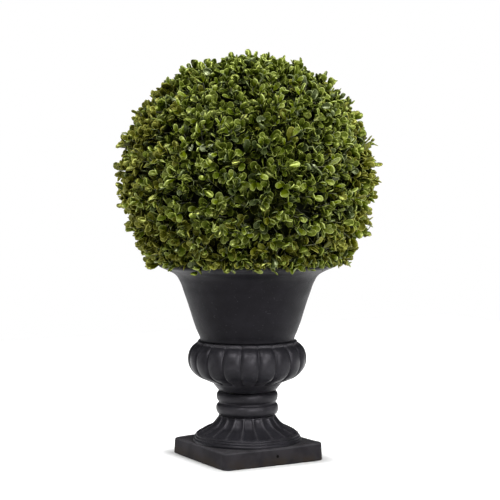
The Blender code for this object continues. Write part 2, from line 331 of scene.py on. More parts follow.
# The plinth is a low square block with rounded corners and edges and a slightly warped top.
plinth = dict(
    side=0.1696,
    height=0.0256,
    corner=0.0105,
    cornerTaper=0.3,  # how much tighter the corners get, as a share of how far a ring is drawn in
    edge=0.0028,
    edgeRows=7,
    underEdgeHighlight=0.7,  # height of the lower edge's rounding, as a share of the upper one's
    sideRows=9,
    draft=0.0008,
    bow=0.0006,  # how far the middle of each side stands out
    capRows=12,
    capShares=(0.15, 0.97),  # size of the first and last rings that close the underside and the top
    tilt=0.0017,  # how far the top rises at its right corner as the photo shows it, and sinks at its left
    tiltWay=(0.87, -0.49),  # level direction of that corner
    tiltAway=0.118,  # and its distance
    tiltFrom=0.080,  # the tilt starts at this distance off the axis and grows over the next
    tiltOver=0.03,
    topFrom=0.375,  # the top's tilt and sag start at this share of the height
    sag=0.00035,
    sagOver=0.09,  # distance at which the sides come in by the full sag
    topLumps=(0.05, 11),
    sideLumps=(0.035, 12),
    steps=288,
    wearUnder=0.25,
    wearEdgeHighlight=0.55,
    # the paler top is partly dust and wear, partly painted light from above
    wearAndLightTop=0.10,
    finish=dict(
        castLook,
        dark=(0.0145, 0.0135, 0.0152),
        pale=(0.0226, 0.0210, 0.0234),
        earthShare=0.75,
        gloss=0.006,
        roughLow=0.34,
        pit=(0.0032, -0.0850, 0.0138),  # middle of the small pit in the plinth's front
        pitSize=0.0026,
        pitCore=0.6,  # share of its size that is fully dark
        # the pit's black is the painted shade of a small hole
        pitDark=(0.0, 0.0, 0.0),
    ),
)


def roundedSquare(half, corner, bow, steps):
    # Rings of a rounded square, one for each half side. On a corner a point is (half - corner) +
    # corner * (cos, sin). Along a side it runs straight to the next corner and stands out by
    # bow * (1 - u squared), u from -1 to 1.
    quarter = steps // 4
    bend = np.linspace(0, math.pi / 2, quarter // 2)
    x = half - corner + corner * np.cos(bend)
    y = half - corner + corner * np.sin(bend)
    along = np.linspace(0, 1, quarter - len(bend) + 2)[1:-1]
    sideX = x[:, -1:] * (1 - along) - y[:, :1] * along
    sideY = y[:, -1:] * (1 - along) + x[:, :1] * along + bow * (1 - (2 * along - 1) ** 2)
    x = np.hstack([x, sideX])[:, None, :]
    y = np.hstack([y, sideY])[:, None, :]
    turn = (np.arange(4) * math.pi / 2)[:, None]
    flat = np.stack([x * np.cos(turn) - y * np.sin(turn), x * np.sin(turn) + y * np.cos(turn)], axis=-1)
    return flat.reshape(len(half), -1, 2)


def plinthRings(look):
    # How far each ring is drawn in, and its height: a quarter round, the upright side, a quarter round.
    edge, rows = look["edge"], look["edgeRows"]
    around = np.linspace(-math.pi / 2, math.pi / 2, rows * 2 - 1)
    sink, climb = around[:rows], around[rows - 1:]
    low = np.stack([edge * (1 - np.cos(sink)), edge * (1 + np.sin(sink)) * look["underEdgeHighlight"]], axis=-1)
    high = np.stack([edge * (1 - np.cos(climb)), look["height"] - edge * (1 - np.sin(climb))], axis=-1)
    upright = np.linspace(low[-1, 1], high[0, 1], look["sideRows"] + 2)[1:-1]
    return np.vstack([low, np.stack([np.zeros_like(upright), upright], axis=-1), high])


def makePlinth(look):
    # Rings from the underside up the side to the top, each the square drawn in by the edges' roundings,
    # with smaller and smaller squares inside the first and the last ring. Then the top is tilted and sags
    # by its lumps, and the sides come in by theirs.
    rings = plinthRings(look)
    half = look["side"] / 2 - rings[:, :1] - look["draft"] * rings[:, 1:] / look["height"]
    corner = look["corner"] - rings[:, :1] * look["cornerTaper"]
    flat = roundedSquare(half, corner, look["bow"], look["steps"])
    caps = look["capRows"]
    inner = np.linspace(*look["capShares"], caps)[:, None, None]
    flat = np.concatenate([flat[:1] * inner, flat, flat[-1:] * inner[::-1]])
    height = np.r_[np.full(caps, rings[0, 1]), rings[:, 1], np.full(caps, rings[-1, 1])]
    grid = np.dstack([flat, np.broadcast_to(height[:, None], flat.shape[:2])])
    share = np.clip(grid[..., 2] / look["height"], 0, 1)
    away = np.hypot(grid[..., 0], grid[..., 1])
    lift = grid[..., :2] @ np.array(look["tiltWay"]) / look["tiltAway"]
    rise = look["tilt"] * lift * np.clip((away - look["tiltFrom"]) / look["tiltOver"], 0, 1)
    rise -= np.abs(lumps(grid, *look["topLumps"])) * look["sag"]
    draw = 1 - np.abs(lumps(grid, *look["sideLumps"])) * look["sag"] * share / look["sagOver"]
    grid[..., 2] += rise * np.clip((share - look["topFrom"]) / (1 - look["topFrom"]), 0, 1)
    grid[..., :2] *= draw[..., None]
    wear = np.zeros(grid.shape[:2])
    wear[caps:caps + look["edgeRows"]] = look["wearUnder"]
    wear[1 - caps - look["edgeRows"]:-caps] = look["wearEdgeHighlight"]
    # The top is painted paler: partly dust and wear, partly painted light from above.
    wear[-caps:] = look["wearAndLightTop"]
    return ringMesh("plinthCast", grid, wear=wear)


def lobeShare(steps):
    # Where each step stands across its lobe: -1 and 1 in the grooves on its two sides, 0 on its crest.
    return ((stepAngles(steps) - lobeStart) * lobeCount / fullTurn + 0.5) % 1 * 2 - 1


# Outlines are points of radius and height. Each is read in so many rows, and below and above are the level
# runs that close it: the radii where they start and end, and their rows.
foot = dict(
    steps=lobeCount * 20,
    below=(0.012, 0.0816, 10),
    ring=[(0.0818, 0.0253), (0.0819, 0.0264), (0.0819, 0.0279), (0.0814, 0.0292), (0.0804, 0.0300),
          (0.0798, 0.0303), (0.0796, 0.0307)],
    ringRows=14,
    fillet=[(0.0796, 0.0307), (0.0799, 0.0316), (0.0795, 0.0327), (0.0785, 0.0334), (0.0777, 0.0337),
            (0.0775, 0.0342), (0.0777, 0.0350), (0.0772, 0.0361), (0.0757, 0.0367)],
    filletRows=18,
    ridge=[(0.0757, 0.0367), (0.0734, 0.0390), (0.0676, 0.0424), (0.0610, 0.0457), (0.0548, 0.0487),
           (0.0512, 0.0517), (0.0485, 0.0548), (0.0461, 0.0578), (0.0440, 0.0608), (0.0425, 0.0638)],
    ridgeRows=56,
    top=[(0.0425, 0.0638), (0.0418, 0.0642)],
    topRows=3,
    above=(0.0413, 0.006, 5),
    fluteDeep=0.0027,
    fluteWide=0.90,  # share of its lobe
    fluteStart=0.10,  # shares of the flare over which a flute's two round ends reach
    fluteEnd=0.07,
    fluteFull=0.060,  # radius from which a flute has its full depth
    fluteLeast=0.55,
    uneven=(0.022, 0.00028, 21),  # size of the swellings, how far they stand out, seed
    ridgeWide=0.16,
    ridgeWear=(0.35, 1.0),  # at the flare's foot and further up
    ridgeWearRise=1.4,  # higher brings the second lower down
    stepWear=((-14, -10, 0.12), (-5, 1, 0.14)),  # rows counted from the flare's first, and their wear
    finish=dict(castLook, earthShare=0.15),
)


def makeFoot(look):
    # A turned flare whose flutes are hollows with round ends: across a flute the depth is a half ellipse,
    # whose width shrinks to nothing at the flute's two ends.
    lobe = lobeShare(look["steps"])
    ring = smoothRun(look["ring"], look["ringRows"])
    fillet = smoothRun(look["fillet"], look["filletRows"])[1:]
    flare = smoothRun(look["ridge"], look["ridgeRows"])[1:]
    top = smoothRun(look["top"], look["topRows"])[1:]
    radius, height, angle = spun(cappedOutline(look, ring, fillet, flare, top), look["steps"])
    up = np.linspace(0, 1, len(flare))
    fromStart = np.clip((look["fluteStart"] - up) / look["fluteStart"], 0, 1)
    fromEnd = np.clip((up - 1 + look["fluteEnd"]) / look["fluteEnd"], 0, 1)
    width = look["fluteWide"] * np.sqrt(1 - fromStart**2) * np.sqrt(1 - fromEnd**2)
    across = np.abs(lobe)[None, :] / np.maximum(width, 1e-4)[:, None]
    hollow = np.sqrt(np.clip(1 - across**2, 0, 1)) * look["fluteDeep"]
    hollow *= (flare[:, 0] / look["fluteFull"]).clip(look["fluteLeast"], 1.0)[:, None]
    slope = np.gradient(flare, axis=0)
    slope /= np.linalg.norm(slope, axis=1)[:, None]
    first = look["below"][2] + len(ring) + len(fillet)
    rows = slice(first, first + len(flare))
    radius[rows] -= hollow * slope[:, 1:]
    height[rows] += hollow * slope[:, :1]
    makeUneven(radius, height, angle, betweenCaps(look), look)
    wear = np.zeros_like(radius)
    least, most = look["ridgeWear"]
    upWear = least + (most - least) * np.clip(up * look["ridgeWearRise"], 0, 1)
    wear[rows] = np.clip(1 - (1 - np.abs(lobe)) / look["ridgeWide"], 0, 1) * upWear[:, None]
    for start, end, amount in look["stepWear"]:
        wear[first + start:first + end] = amount
    return turnedMesh("footCast", radius, height, angle, wear=wear)


neck = dict(
    steps=240,
    below=(0.010, 0.0408, 5),
    beads=[(0.0412, 0.0646), (0.0424, 0.0652), (0.0455, 0.0686), (0.0470, 0.0744), (0.0458, 0.0798),
           (0.0432, 0.0831), (0.0431, 0.0841), (0.0450, 0.0876), (0.0461, 0.0932), (0.0452, 0.0975),
           (0.0428, 0.1003), (0.0414, 0.1008)],
    beadRows=84,
    above=(0.0408, 0.010, 5),
    uneven=(0.024, 0.00035, 31),
    wearFrom=0.0448,  # the beads are worn from this radius on, fully after the next
    wearOver=0.0016,
    wear=0.45,
    finish=castLook,
)


def makeNeck(look):
    # The beads' outline turned round the axis, a little out of true.
    outline = cappedOutline(look, smoothRun(look["beads"], look["beadRows"]))
    radius, height, angle = spun(outline, look["steps"])
    makeUneven(radius, height, angle, betweenCaps(look), look)
    wear = np.clip((radius - look["wearFrom"]) / look["wearOver"], 0, 1) * look["wear"]
    return turnedMesh("neckCast", radius, height, angle, wear=wear)


bowl = dict(
    steps=lobeCount * 22,
    below=(0.010, 0.0412, 5),
    cup=[(0.0416, 0.1012), (0.0432, 0.1019), (0.0458, 0.1046), (0.0488, 0.1084), (0.0512, 0.1118),
         (0.0520, 0.1136)],
    cupRows=20,
    crest=[(0.0520, 0.1136), (0.0542, 0.1142), (0.0590, 0.1162), (0.0652, 0.1188), (0.0714, 0.1214),
           (0.0764, 0.1242), (0.0804, 0.1276), (0.0850, 0.1336), (0.0880, 0.1406), (0.0891, 0.1480),
           (0.0884, 0.1562), (0.0858, 0.1638), (0.0813, 0.1697), (0.0768, 0.1732), (0.0750, 0.1745),
           (0.0752, 0.1757), (0.0743, 0.1768), (0.0724, 0.1768)],
    groove=[(0.0520, 0.1136), (0.0522, 0.1150), (0.0545, 0.1178), (0.0605, 0.1212), (0.0664, 0.1240),
            (0.0716, 0.1266), (0.0760, 0.1298), (0.0800, 0.1349), (0.0826, 0.1410), (0.0834, 0.1480),
            (0.0824, 0.1558), (0.0798, 0.1626), (0.0764, 0.1680), (0.0738, 0.1712), (0.0729, 0.1729),
            (0.0731, 0.1744), (0.0727, 0.1756), (0.0716, 0.1760)],
    lobeRows=104,
    recess=[(0.0716, 0.1765), (0.0708, 0.1770), (0.0700, 0.1770), (0.0694, 0.1752)],
    recessRows=9,
    above=(0.0690, 0.010, 8),
    grooveShare=0.97,  # how near to the groove the round of a lobe's side runs, 1 being all the way
    grooveDeep=0.62,  # depth of the grooves, 1 being down to the groove outline
    petal=2.8,  # higher is flatter across a lobe
    uneven=(0.020, 0.00040, 41),
    wearFrom=0.0840,
    wearOver=0.005,
    wear=0.30,
    lipRows=(-9, -4),  # rows of the lip, worn and painted with a highlight, counted from the lobes' last
    lipWearAndHighlight=0.85,
    finish=castLook,
)


def makeBowl(look):
    # Each ring swells from the groove outline to the crest outline by nearly a half ellipse across every
    # lobe, the root of 1 - |lobe| to the power of petal, so a lobe is a fat petal whose two ends are round.
    lobe = lobeShare(look["steps"])
    rise = np.sqrt(np.clip(1 - (np.abs(lobe) * look["grooveShare"]) ** look["petal"], 0, 1))
    least = (1 - look["grooveShare"] ** look["petal"]) ** 0.5
    rise = (rise - least) / (1 - least)
    cup = smoothRun(look["cup"], look["cupRows"])
    crest = smoothRun(look["crest"], look["lobeRows"])[1:]
    groove = crest + (smoothRun(look["groove"], look["lobeRows"])[1:] - crest) * look["grooveDeep"]
    recess = smoothRun(look["recess"], look["recessRows"])
    angle = stepAngles(look["steps"])
    crests, grooves = (cappedOutline(look, cup, line, recess).T[..., None] for line in (crest, groove))
    radius, height = grooves + (crests - grooves) * rise
    makeUneven(radius, height, angle, betweenCaps(look), look)
    wear = np.zeros_like(radius)
    first = look["below"][2] + len(cup)
    lip = first + len(crest)
    wear[first:lip] = np.clip((radius[first:lip] - look["wearFrom"]) / look["wearOver"], 0, 1) * look["wear"]
    # The lip's thin pale line is partly wear, partly a painted highlight where the edge catches light.
    start, end = look["lipRows"]
    wear[lip + start:lip + end] = look["lipWearAndHighlight"]
    return turnedMesh("bowlCast", radius, height, angle, wear=wear)


wall = dict(
    steps=256,
    outer=[(0.0712, 0.1775), (0.0714, 0.1800), (0.0757, 0.1909), (0.0810, 0.2061), (0.0855, 0.2212),
           (0.0902, 0.2363), (0.0955, 0.2515), (0.0985, 0.2605), (0.1014, 0.2666), (0.1048, 0.2726),
           (0.1098, 0.2775), (0.1158, 0.2810), (0.1225, 0.2842), (0.1290, 0.2868)],
    outerRows=66,
    rim=[(0.1290, 0.2868), (0.1318, 0.2883), (0.1334, 0.2908), (0.1326, 0.2933), (0.1302, 0.2941),
         (0.1281, 0.2930)],
    rimRows=18,
    inner=[(0.1281, 0.2930), (0.1240, 0.2893), (0.1160, 0.2862), (0.1075, 0.2805), (0.1000, 0.2720),
           (0.0945, 0.2620), (0.0892, 0.2500), (0.0800, 0.2240), (0.0715, 0.1985), (0.0648, 0.1788)],
    innerRows=40,
    below=(0.0658, 0.0702, 4),
    uneven=(0.055, 0.00045, 51),
    rimWorn=(-4, 14),  # worn rows, counted from the rim's first
    rimWear=0.4,
    # The wall's tones are darker than the rest of the cast: painted shade under the ball's overhang.
    finish=dict(
        castLook,
        dark=(0.0028, 0.0027, 0.0037),
        pale=(0.0050, 0.0048, 0.0064),
        gloss=0.092,
        roughLow=0.44,
        roughHigh=0.50,
    ),
)


def makeWall(look):
    # An open ring: the outline runs up the outer side, over the rolled rim, down the inside and back
    # along the narrow underside.
    outer = smoothRun(look["outer"], look["outerRows"])
    rim = smoothRun(look["rim"], look["rimRows"])[1:]
    inner = smoothRun(look["inner"], look["innerRows"])[1:]
    under = levelRun(look["below"], look["outer"][0][1])
    radius, height, angle = spun(np.vstack([outer, rim, inner, under]), look["steps"])
    makeUneven(radius, height, angle, slice(0, len(outer) + len(rim)), look)
    wear = np.zeros_like(radius)
    start, end = look["rimWorn"]
    wear[len(outer) + start:len(outer) + end] = look["rimWear"]
    return turnedMesh("wallCast", radius, height, angle, closedRing=True, wear=wear)


for make, look, finishName, node in (
    (makePlinth, plinth, "plinthBlack", "urn_plinth"),
    (makeFoot, foot, "footBlack", "urn_foot"),
    (makeNeck, neck, "neckBlack", "urn_neck"),
    (makeBowl, bowl, "bowlBlack", "urn_bowl"),
    (makeWall, wall, "wallShadedBlack", "urn_wall"),
):
    addPiece(make(look), [castFinish(finishName, look["finish"])], node)
    print(node, "done")


# Filler and stem stand inside the urn, where little of them is seen.
filler = dict(
    steps=160,
    below=(0.006, 0.0478, 6),
    side=[(0.0498, 0.1364), (0.0778, 0.2190)],
    sideRows=14,
    above=(0.0768, 0.004, 40),
    crumb=0.00045,  # how far the crumbs on top stand out
    crumbs=((0.006, 61), (0.0025, 62)),  # their two sizes, each with its seed
    finish=dict(
        dark=(0.020, 0.014, 0.009),
        light=(0.070, 0.050, 0.032),
        roughness=0.95,
        gloss=0.2,
        grain=0.003,
        grainRough=0.7,
        levels=(0.35, 0.65),  # levels of the noise between which dark turns to light
        least=0.0,  # share of the light tone under them
        bump=0.0015,
        bumpStrength=0.8,
    ),
)
stem = dict(
    steps=96,
    rows=72,
    foot=0.2203,
    top=0.3000,
    radius=0.0108,
    tip=0.0088,
    root=0.0150,
    rootTop=0.2363,
    rootCurve=2.2,
    ridges=9,
    ridgeDeep=0.0006,
    ridgeSharp=0.7,
    wavers=((1.3, 95, 0), (0.7, 210, 1)),  # swing, pitch and start of the ridges' two wavers up the stem
    knots=(0.004, 71),  # size and seed of the lumps, read on a slimmer and lower stem that draws them out
    knotDeep=0.00025,
    knotRadius=0.01,
    knotHeight=0.3,
    under=0.0002,  # how far the bark stays under its full radius
    caps=(0.25, 0.92, 5),  # shares of the radius of the rings that close each end, and their rows
    finish=dict(
        dark=(0.030, 0.021, 0.014),
        light=(0.150, 0.115, 0.080),
        roughness=0.88,
        gloss=0.25,
        grain=0.004,
        grainRough=0.65,
        levels=(0.25, 0.7),
        least=0.4,
        ridged=True,
        bump=0.0008,
        bumpStrength=0.7,
    ),
)


def makeFiller(look):
    # A plug that widens upwards, with crumbs of two sizes all over its top.
    outline = cappedOutline(look, np.linspace(*look["side"], look["sideRows"]))
    radius, height, angle = spun(outline, look["steps"])
    grains = sum(lumps(ringPoints(radius, height, angle), *crumb) for crumb in look["crumbs"])
    top = slice(-look["above"][2], None)
    height[top] += grains[top] * look["crumb"]
    return turnedMesh("fillerCrumb", radius, height, angle)


def makeStem(look):
    # A tapering stem, wider at its root, less the furrows of its bark: the radius is least where the sine
    # of half the angle times the ridges, wavering with height, is 0.
    z = np.linspace(look["foot"], look["top"], look["rows"])
    share = (z - look["foot"]) / (look["top"] - look["foot"])
    body = look["radius"] + (look["tip"] - look["radius"]) * share
    flare = np.clip((look["rootTop"] - z) / (look["rootTop"] - look["foot"]), 0, 1) ** look["rootCurve"]
    body = body + (look["root"] - look["radius"]) * flare
    radius, height, angle = spun(np.stack([body, z], -1), look["steps"])
    waver = sum(swing * np.sin(z * pitch + start) for swing, pitch, start in look["wavers"])
    ridge = np.abs(np.sin(angle * look["ridges"] / 2 + waver[:, None])) ** look["ridgeSharp"]
    slim = ringPoints(np.full_like(height, look["knotRadius"]), height * look["knotHeight"], angle)
    knots = lumps(slim, *look["knots"]) * look["knotDeep"]
    radius = radius - look["ridgeDeep"] * (1 - ridge) + knots - look["under"]
    inner = np.linspace(*look["caps"])[:, None]
    low, high = radius[:1] * inner, radius[-1:] * inner[::-1]
    radius = np.vstack([low, radius, high])
    height = np.vstack([np.full_like(low, z[0]), height, np.full_like(high, z[-1])])
    ridge = np.vstack([np.zeros_like(low), ridge, np.zeros_like(high)])
    return turnedMesh("stemBark", radius, height, angle, ridge=ridge)


def grainedFinish(name, look):
    # Dark and light by a fine noise, and darker down in the furrows where the piece has ridges.
    finish, tree, shader = newFinish(name, Roughness=look["roughness"], Specular_IOR_Level=look["gloss"])
    grains = noiseOf(tree, ownPoint(tree), look["grain"], detail=4.0, rough=look["grainRough"])
    share = ramped(tree, grains, *look["levels"], look["least"])
    if "ridged" in look:
        share = times(tree, paintedOn(tree, "ridge"), share)
    tree.links.new(blended(tree, share, look["dark"], look["light"]), shader.inputs["Base Color"])
    addBump(tree, shader, grains, look["bump"], look["bumpStrength"])
    return finish


addPiece(makeFiller(filler), [grainedFinish("fillerBrown", filler["finish"])], "pot_fill")
addPiece(makeStem(stem), [grainedFinish("stemBrown", stem["finish"])], "stem")
print("filler and stem done")


# The ball is sprays on a golden spiral, each a twig with pairs of leaves at right angles.
ball = dict(
    seed=20,
    sprays=1950,
    centre=0.4168,
    rootRadius=0.1480,  # of the core, where the twigs start
    tipRadius=0.1908,  # of the whole ball
    tipPast=0.55,  # share of a leaf's length by which the last leaves pass the twig's tip
    reachSpread=0.0080,
    reachRange=(-1, 0.15),  # in reach spreads
    crownFlat=0.045,  # share by which the ball is lower at its very top
    crownFrom=0.82,
    aimJitter=0.022,
    lean=0.40,  # how far a twig leans any way
    uplift=0.16,  # how much the twigs turn upwards
    upright=0.70,  # a twig that leans over further than this is raised, 1 being straight out
    curl=0.16,
    stray=0.035,  # share of the twigs that missed the shears
    strayOut=0.0070,
    strayRange=(0.4, 1),
    rimRadius=0.1337,  # the urn's rim, which leaves and twigs keep clear of
    rimTop=0.2943,
    clearance=0.0012,
    skirtLow=0.2860,  # no leaf hangs lower than this
    leavesPerPiece=3300,
)
skirt = dict(  # lower and upper limits are in pairs
    sprays=170,
    rootRadius=(0.107, 0.119),
    rootHeight=(0.299, 0.312),
    out=0.8,
    drop=(0.20, 0.62),
    aimJitter=0.22,
    length=(0.022, 0.032),
    curl=0.16,
    hang=0.15,
)
pairing = dict(
    pairs=(  # share of the twig's length, degrees of spread and size of each pair of leaves
        (0.30, 62, 0.94),
        (0.55, 58, 1.04),
        (0.79, 50, 1.00),
        (1.00, 34, 0.78),
    ),
    shareJitter=0.02,
    turnJitter=18,
    spreadJitter=15,
    rollJitter=25,
    sizeJitter=0.17,
    sizeRange=(0.45, 1.3),
    cupRange=(0.0002, 0.004),
)
leaf = dict(
    length=0.0178,
    width=0.0103,
    along=(0.10, 0.38, 0.69, 0.91),  # the edge's points, as shares of the length
    across=(0.20, 0.80, 1.00, 0.72),  # and of half the width
    middle=0.58,  # share of the length where the loop's middle is
    inner=0.86,  # size of the loop, which parts the edge from the blade, against the edge's
    widest=0.6,
    cup=0.0022,  # how far the sides rise above the midrib
    cupSpread=0.0006,
    innerCup=0.68,  # rise of the loop against the edge's
    tipCup=0.6,  # rise of the tip against the sides'
    arch=-0.0004,  # how far the tip bends up, or back where negative
    archSpread=0.0016,
    thick=0.0005,
    edgeHighlightFrom=0.30,  # share of the length where the pale edge, a painted highlight, begins
    litTipFrom=0.70,  # and where the blade turns paler, painted light on the leaf's outer part
    litTipShare=0.25,
    roughness=0.26,
    gloss=0.50,
    glossTint=(0.92, 1.0),  # red and green, the blue share being each colour's own
)
twig = dict(
    root=0.0011,
    tip=0.0005,
    sides=4,
    rows=4,
    sunk=0.12,  # share of its length by which a twig's root is sunk in the core
    colour=(0.058, 0.062, 0.015),
    roughness=0.7,
    gloss=0.5,
)
core = dict(
    rows=90,
    steps=180,
    lumps=((0.010, 81, 0.012), (0.030, 82, 0.008)),  # size, seed and share of the radius
    # its near-black colour is painted shade deep inside the ball
    colour=(0.010, 0.013, 0.003),
    roughness=0.95,
    gloss=0.1,
)
slant = np.array([0.31, 0.52, 0.79])  # any direction will do here: it is crossed with a twig's own


def leafPattern(look):
    # One leaf from its foot at the origin along +X: an egg-shaped edge, and on each side a smaller loop
    # (middle + inner * (edge - middle)) round a middle point. Beside the flat points come the two rises that
    # a leaf is bent by: the spoon's, y squared plus a share at the tip, and the arch's, x squared.
    along = np.array(look["along"])
    across = np.array(look["across"])
    x = np.r_[0, along, 1, along[::-1]]
    y = np.r_[0, across, 0, -across[::-1]]
    middle = look["middle"]
    tip = np.clip((x - middle) / (1 - middle), 0, 1) ** 2
    spoon = y**2 + tip * look["tipCup"]
    edge = np.stack([x * look["length"], y * look["width"] / 2, np.zeros_like(x)], -1)
    centre = np.array([[middle * look["length"], 0, 0]])
    down = np.array([[0, 0, look["thick"]]])
    loop = centre + (edge - centre) * look["inner"]
    points = np.vstack([edge, loop, centre, loop - down, centre - down])
    spoon = np.r_[spoon, spoon * look["innerCup"], 0, spoon * look["innerCup"], 0]
    arch = (points[:, 0] / look["length"]) ** 2
    count = len(edge)
    here = np.arange(count)
    after = (here + 1) % count
    top, low = count, 2 * count + 1  # where the loops above and below start
    hub, lowHub = 2 * count, 3 * count + 1
    corners = [
        (here, after, top + after),
        (here, top + after, top + here),
        (after, here, low + here),
        (after, low + here, low + after),
        (top + here, top + after, np.full(count, hub)),
        (low + after, low + here, np.full(count, lowHub)),
    ]
    faces = np.vstack([np.stack(three, -1) for three in corners])
    # Edge faces past a share take a painted highlight, and blade faces near the tip paler painted light.
    stands = (x + x[after]) / 2
    edgeHighlightKinds = np.where(stands > look["edgeHighlightFrom"], 1, 0)
    bladeKinds = np.where(stands > look["litTipFrom"], 2, 0)
    kinds = np.r_[np.tile(edgeHighlightKinds, 4), np.tile(bladeKinds, 2)].astype(np.int32)
    return points, spoon, arch, faces, kinds


def unit(vectors):
    # Each vector over its own length.
    return vectors / np.linalg.norm(vectors, axis=-1, keepdims=True)


def acrossFrom(axis):
    # Two directions at right angles to the axis and to each other.
    side = unit(np.cross(axis, slant))
    return side, np.cross(axis, side)


def clearOfUrn(points, look):
    # True where foliage may be: above the rim, or outside it and not too low.
    radius = np.hypot(points[..., 0], points[..., 1])
    over = points[..., 2] > look["rimTop"] + look["clearance"]
    outside = (radius > look["rimRadius"] + look["clearance"]) & (points[..., 2] > look["skirtLow"])
    return over | outside


def growSprays(look, rng):
    # Directions on a golden spiral. Each spray's path leaves the core along its own leaning direction and
    # curls a little: root + length * (share * way + share squared * curl / 2).
    count = look["sprays"]
    place = np.arange(count)
    z = 1 - (2 * place + 1) / count
    flat = np.sqrt(1 - z**2)
    out = np.stack([flat * np.cos(place * goldenAngle), flat * np.sin(place * goldenAngle), z], -1)
    out = unit(out + rng.normal(0, look["aimJitter"], (count, 3)))
    way = unit(out + rng.normal(0, look["lean"], (count, 3)) + np.array([0, 0, look["uplift"]]))
    way = unit(way + out * np.clip(look["upright"] - (way * out).sum(-1), 0, 1)[:, None])
    curl = rng.normal(0, look["curl"], (count, 3))
    stray = rng.random(count) < look["stray"]
    reach = look["tipRadius"] - leaf["length"] * look["tipPast"]
    reach = reach + rng.uniform(*look["reachRange"], count) * look["reachSpread"]
    reach += stray * rng.uniform(*look["strayRange"], count) * look["strayOut"]
    reach *= 1 - look["crownFlat"] * np.clip((out[:, 2] - look["crownFrom"]) / (1 - look["crownFrom"]), 0, 1)
    root = out * look["rootRadius"] + np.array([0, 0, look["centre"]])
    length = (reach - look["rootRadius"]) / (way * out).sum(-1)
    turn = rng.uniform(0, fullTurn, count)
    return dict(out=out, way=way, curl=curl, root=root, length=length, turn=turn)


def growSkirt(look, rng):
    # Short sprays that leave the core just above the rim, lean out over it and hang a little outside it.
    count = look["sprays"]
    angle = np.arange(count) * goldenAngle
    up = np.array([[0, 0, 1]])
    out = ringPoints(1, np.zeros(count), angle)
    root = out * rng.uniform(*look["rootRadius"], (count, 1))
    root += up * rng.uniform(*look["rootHeight"], (count, 1))
    drop = rng.uniform(*look["drop"], (count, 1)) * up
    way = unit(out * look["out"] - drop + rng.normal(0, look["aimJitter"], (count, 3)))
    length = rng.uniform(*look["length"], count)
    turn = rng.uniform(0, fullTurn, count)
    curl = rng.normal(0, look["curl"], (count, 3)) - up * look["hang"]
    return dict(out=out, way=way, curl=curl, root=root, length=length, turn=turn)


def alongSpray(sprays, share):
    # Point and direction of every spray's path at these shares of its length, where share has one
    # more axis than sprays.
    length = sprays["length"][:, None, None]
    way, curl, root = (sprays[key][:, None, :] for key in ("way", "curl", "root"))
    share = share[..., None]
    point = root + length * (share * way + share**2 * curl * 0.5)
    return point, unit(way + share * curl)


def placeLeaves(look, sprays, rng):
    # Leaf axes: the leaf leans from the twig by its spread, in a plane turned a quarter from pair to pair.
    # Its upper side faces the tip of the twig. Rolled by a random angle about its own length.
    count = len(sprays["length"])
    pairs = len(look["pairs"])
    share, spread, grown = np.repeat(look["pairs"], 2, axis=0).T
    shares = share[None, :] + rng.normal(0, look["shareJitter"], (count, pairs * 2))
    point, axis = alongSpray(sprays, shares)
    side, other = acrossFrom(axis)
    quarter = np.repeat(np.arange(pairs), 2) * math.pi / 2 + np.tile([0, math.pi], pairs)
    turn = sprays["turn"][:, None] + quarter
    turn = turn + np.radians(rng.normal(0, look["turnJitter"], turn.shape))
    away = np.cos(turn)[..., None] * side + np.sin(turn)[..., None] * other
    lean = np.radians(spread)[None, :] + np.radians(rng.normal(0, look["spreadJitter"], turn.shape))
    lean = lean[..., None]
    x = np.cos(lean) * axis + np.sin(lean) * away
    y = np.cross(axis, away)
    z = np.sin(lean) * axis - np.cos(lean) * away
    roll = np.radians(rng.normal(0, look["rollJitter"], turn.shape))[..., None]
    y, z = np.cos(roll) * y + np.sin(roll) * z, np.cos(roll) * z - np.sin(roll) * y
    size = grown[None, :] * (1 + rng.normal(0, look["sizeJitter"], turn.shape))
    size = np.clip(size, *look["sizeRange"])
    pair = np.broadcast_to(np.repeat(np.arange(pairs), 2), turn.shape)
    spoon = np.clip(rng.normal(leaf["cup"], leaf["cupSpread"], turn.shape), *look["cupRange"])
    arch = rng.normal(leaf["arch"], leaf["archSpread"], turn.shape)
    return dict(point=point, x=x, y=y, z=z, size=size, pair=pair, spoon=spoon, arch=arch)


def keepClear(look, leaves):
    # A leaf stays if its foot, tip and both sides are clear of the urn.
    length = leaf["length"] * leaves["size"][..., None]
    half = leaf["width"] * leaves["size"][..., None] / 2
    middle = leaves["point"] + leaves["x"] * length * leaf["widest"]
    side = leaves["y"] * half
    spots = [leaves["point"], leaves["point"] + leaves["x"] * length, middle + side, middle - side]
    return np.all([clearOfUrn(spot, look) for spot in spots], axis=0)


def copiedFaces(faces, count, pointsEach):
    # The same faces for every copy, each copy's corners counted on from the one before.
    return (faces[None] + (np.arange(count) * pointsEach)[:, None, None]).reshape(-1, faces.shape[1])


def leafMesh(name, leaves, chosen):
    # Every chosen leaf's copy of the pattern, turned to its own axes, in one array.
    points, spoon, arch, faces, kinds = leafPattern(leaf)
    size = leaves["size"][chosen][:, None, None]
    axes = np.stack([leaves[key][chosen] for key in "xyz"], axis=1)
    rise = spoon * leaves["spoon"][chosen][:, None] + arch * leaves["arch"][chosen][:, None]
    shape = np.repeat(points[None], len(axes), axis=0)
    shape[..., 2] += rise
    placed = leaves["point"][chosen][:, None, :] + size * np.einsum("npk,nkc->npc", shape, axes)
    mesh = meshFrom(name, placed.reshape(-1, 3), copiedFaces(faces, len(placed), len(points)))
    mesh.polygons.foreach_set("material_index", np.tile(kinds, len(placed)))
    return mesh


